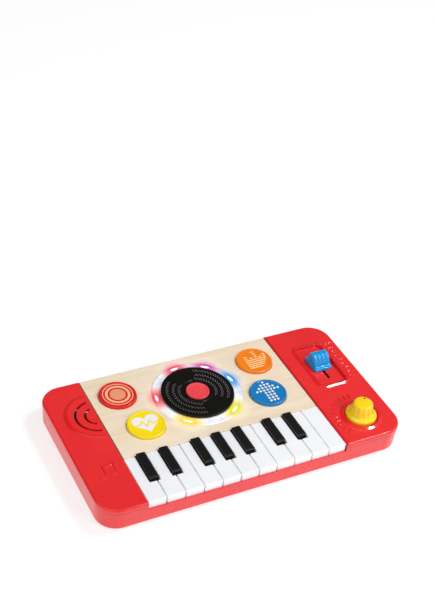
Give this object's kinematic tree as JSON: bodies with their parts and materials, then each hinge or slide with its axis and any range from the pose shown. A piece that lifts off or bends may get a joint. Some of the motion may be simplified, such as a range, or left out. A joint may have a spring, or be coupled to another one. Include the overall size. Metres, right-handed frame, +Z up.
{
  "type": "toy electronic keyboard",
  "caption": "Flat red toy keyboard with plywood panel, spinning record in a lit ring, round push buttons, hinged piano keys, fader and volume knob.",
  "frame": {"origin": "centre of the footprint, on the table plane under the rubber feet", "axes": "+X along the length towards the treble keys and the knob, +Y away from the player, +Z up"},
  "size_m": [0.32, 0.1724, 0.043],
  "materials": {
    "red_abs": "satin moulded ABS",
    "birch": "clear-lacquered birch plywood",
    "white_plastic": "polished moulded ABS",
    "black_plastic": "polished moulded ABS",
    "frosted_white": "frosted translucent polycarbonate",
    "record_black": "fine-grooved moulded plastic",
    "label_red": "gloss label",
    "button_red": "gloss moulded plastic",
    "button_yellow": "gloss moulded plastic",
    "button_orange": "gloss moulded plastic",
    "button_blue": "gloss moulded plastic",
    "fader_blue": "gloss moulded plastic",
    "knob_yellow": "gloss moulded plastic",
    "steel": "drawn and plated steel",
    "circuit_board": "solder-masked board",
    "chip_black": "moulded epoxy",
    "rubber": "moulded rubber",
    "silicone": "moulded silicone",
    "lamp": "clear epoxy lens",
    "acetal": "moulded acetal",
    "cell_jacket": "printed cell jacket",
    "nickel": "nickel-plated spring steel",
    "paper": "pressed paper pulp"
  },
  "bodies": {
    "case": {"base_shell": "red_abs", "batteries": "cell_jacket", "battery_contacts": "nickel", "battery_door": "red_abs", "battery_door_screw": "steel", "button_domes": "silicone", "case_screws": "steel", "control_board": "circuit_board", "fader_body": "steel", "key_board": "circuit_board", "key_dome_strip": "silicone", "key_rod": "steel", "lamp_board": "circuit_board", "lamps": "lamp", "left_button_board": "circuit_board", "light_ring": "frosted_white", "main_board": "circuit_board", "main_chips": "chip_black", "potentiometer": "steel", "power_switch_case": "chip_black", "right_button_board": "circuit_board", "rubber_feet": "rubber", "speaker_cone": "paper", "speaker_frame": "steel", "speaker_magnet": "steel", "top_cover": "red_abs", "turntable_bearing": "acetal", "wood_panel": "birch"},
    "white_key_01": {"white_key_01": "white_plastic"},
    "white_key_02": {"white_key_02": "white_plastic"},
    "white_key_03": {"white_key_03": "white_plastic"},
    "white_key_04": {"white_key_04": "white_plastic"},
    "white_key_05": {"white_key_05": "white_plastic"},
    "white_key_06": {"white_key_06": "white_plastic"},
    "white_key_07": {"white_key_07": "white_plastic"},
    "white_key_08": {"white_key_08": "white_plastic"},
    "white_key_09": {"white_key_09": "white_plastic"},
    "white_key_10": {"white_key_10": "white_plastic"},
    "white_key_11": {"white_key_11": "white_plastic"},
    "black_key_1": {"black_key_1": "black_plastic"},
    "black_key_2": {"black_key_2": "black_plastic"},
    "black_key_3": {"black_key_3": "black_plastic"},
    "black_key_4": {"black_key_4": "black_plastic"},
    "black_key_5": {"black_key_5": "black_plastic"},
    "black_key_6": {"black_key_6": "black_plastic"},
    "black_key_7": {"black_key_7": "black_plastic"},
    "button_arrow": {"button_arrow": "button_blue"},
    "button_bars": {"button_bars": "button_orange"},
    "button_heart": {"button_heart": "button_yellow"},
    "button_target": {"button_target": "button_red"},
    "turntable": {"turntable_disc": "record_black", "turntable_label": "label_red", "turntable_spindle": "acetal", "encoder_wheel": "chip_black"},
    "fader": {"fader_cap": "fader_blue", "fader_lever": "steel"},
    "volume_knob": {"knob": "knob_yellow", "knob_shaft": "acetal"},
    "power_switch": {"power_switch_lever": "black_plastic"}
  },
  "joints": [
    {"name": "white_key_01_press", "type": "hinge", "parent": "case", "child": "white_key_01", "pos_m": [0, -0.0202, 0.0145], "axis": [1, 0, 0], "range_deg": [0, 2.7], "stiffness_Nm_per_rad": 0.5, "springref_deg": -1.72},
    {"name": "white_key_02_press", "type": "hinge", "parent": "case", "child": "white_key_02", "pos_m": [0, -0.0202, 0.0145], "axis": [1, 0, 0], "range_deg": [0, 2.7], "stiffness_Nm_per_rad": 0.5, "springref_deg": -1.72},
    {"name": "white_key_03_press", "type": "hinge", "parent": "case", "child": "white_key_03", "pos_m": [0, -0.0202, 0.0145], "axis": [1, 0, 0], "range_deg": [0, 2.7], "stiffness_Nm_per_rad": 0.5, "springref_deg": -1.72},
    {"name": "white_key_04_press", "type": "hinge", "parent": "case", "child": "white_key_04", "pos_m": [0, -0.0202, 0.0145], "axis": [1, 0, 0], "range_deg": [0, 2.7], "stiffness_Nm_per_rad": 0.5, "springref_deg": -1.72},
    {"name": "white_key_05_press", "type": "hinge", "parent": "case", "child": "white_key_05", "pos_m": [0, -0.0202, 0.0145], "axis": [1, 0, 0], "range_deg": [0, 2.7], "stiffness_Nm_per_rad": 0.5, "springref_deg": -1.72},
    {"name": "white_key_06_press", "type": "hinge", "parent": "case", "child": "white_key_06", "pos_m": [0, -0.0202, 0.0145], "axis": [1, 0, 0], "range_deg": [0, 2.7], "stiffness_Nm_per_rad": 0.5, "springref_deg": -1.72},
    {"name": "white_key_07_press", "type": "hinge", "parent": "case", "child": "white_key_07", "pos_m": [0, -0.0202, 0.0145], "axis": [1, 0, 0], "range_deg": [0, 2.7], "stiffness_Nm_per_rad": 0.5, "springref_deg": -1.72},
    {"name": "white_key_08_press", "type": "hinge", "parent": "case", "child": "white_key_08", "pos_m": [0, -0.0202, 0.0145], "axis": [1, 0, 0], "range_deg": [0, 2.7], "stiffness_Nm_per_rad": 0.5, "springref_deg": -1.72},
    {"name": "white_key_09_press", "type": "hinge", "parent": "case", "child": "white_key_09", "pos_m": [0, -0.0202, 0.0145], "axis": [1, 0, 0], "range_deg": [0, 2.7], "stiffness_Nm_per_rad": 0.5, "springref_deg": -1.72},
    {"name": "white_key_10_press", "type": "hinge", "parent": "case", "child": "white_key_10", "pos_m": [0, -0.0202, 0.0145], "axis": [1, 0, 0], "range_deg": [0, 2.7], "stiffness_Nm_per_rad": 0.5, "springref_deg": -1.72},
    {"name": "white_key_11_press", "type": "hinge", "parent": "case", "child": "white_key_11", "pos_m": [0, -0.0202, 0.0145], "axis": [1, 0, 0], "range_deg": [0, 2.7], "stiffness_Nm_per_rad": 0.5, "springref_deg": -1.72},
    {"name": "black_key_1_press", "type": "hinge", "parent": "case", "child": "black_key_1", "pos_m": [0, -0.0202, 0.0145], "axis": [1, 0, 0], "range_deg": [0, 2.7], "stiffness_Nm_per_rad": 0.5, "springref_deg": -1.72},
    {"name": "black_key_2_press", "type": "hinge", "parent": "case", "child": "black_key_2", "pos_m": [0, -0.0202, 0.0145], "axis": [1, 0, 0], "range_deg": [0, 2.7], "stiffness_Nm_per_rad": 0.5, "springref_deg": -1.72},
    {"name": "black_key_3_press", "type": "hinge", "parent": "case", "child": "black_key_3", "pos_m": [0, -0.0202, 0.0145], "axis": [1, 0, 0], "range_deg": [0, 2.7], "stiffness_Nm_per_rad": 0.5, "springref_deg": -1.72},
    {"name": "black_key_4_press", "type": "hinge", "parent": "case", "child": "black_key_4", "pos_m": [0, -0.0202, 0.0145], "axis": [1, 0, 0], "range_deg": [0, 2.7], "stiffness_Nm_per_rad": 0.5, "springref_deg": -1.72},
    {"name": "black_key_5_press", "type": "hinge", "parent": "case", "child": "black_key_5", "pos_m": [0, -0.0202, 0.0145], "axis": [1, 0, 0], "range_deg": [0, 2.7], "stiffness_Nm_per_rad": 0.5, "springref_deg": -1.72},
    {"name": "black_key_6_press", "type": "hinge", "parent": "case", "child": "black_key_6", "pos_m": [0, -0.0202, 0.0145], "axis": [1, 0, 0], "range_deg": [0, 2.7], "stiffness_Nm_per_rad": 0.5, "springref_deg": -1.72},
    {"name": "black_key_7_press", "type": "hinge", "parent": "case", "child": "black_key_7", "pos_m": [0, -0.0202, 0.0145], "axis": [1, 0, 0], "range_deg": [0, 2.7], "stiffness_Nm_per_rad": 0.5, "springref_deg": -1.72},
    {"name": "button_arrow_press", "type": "slide", "parent": "case", "child": "button_arrow", "axis": [0, 0, -1], "range_m": [0, 0.0015], "stiffness_N_per_m": 600, "springref_m": -0.001},
    {"name": "button_bars_press", "type": "slide", "parent": "case", "child": "button_bars", "axis": [0, 0, -1], "range_m": [0, 0.0015], "stiffness_N_per_m": 600, "springref_m": -0.001},
    {"name": "button_heart_press", "type": "slide", "parent": "case", "child": "button_heart", "axis": [0, 0, -1], "range_m": [0, 0.0015], "stiffness_N_per_m": 600, "springref_m": -0.001},
    {"name": "button_target_press", "type": "slide", "parent": "case", "child": "button_target", "axis": [0, 0, -1], "range_m": [0, 0.0015], "stiffness_N_per_m": 600, "springref_m": -0.001},
    {"name": "turntable_spin", "type": "hinge", "parent": "case", "child": "turntable", "pos_m": [-0.01195, 0.0311, 0.025], "axis": [0, 0, 1], "continuous": true},
    {"name": "fader_slide", "type": "slide", "parent": "case", "child": "fader", "axis": [0, 1, 0], "range_m": [-0.0205, 0.0125]},
    {"name": "volume_turn", "type": "hinge", "parent": "case", "child": "volume_knob", "pos_m": [0.1262, -0.0543, 0.0262], "axis": [0, 0, 1], "range_deg": [-110, 190]},
    {"name": "power_slide", "type": "slide", "parent": "case", "child": "power_switch", "axis": [1, 0, 0], "range_m": [0, 0.003]}
  ]
}
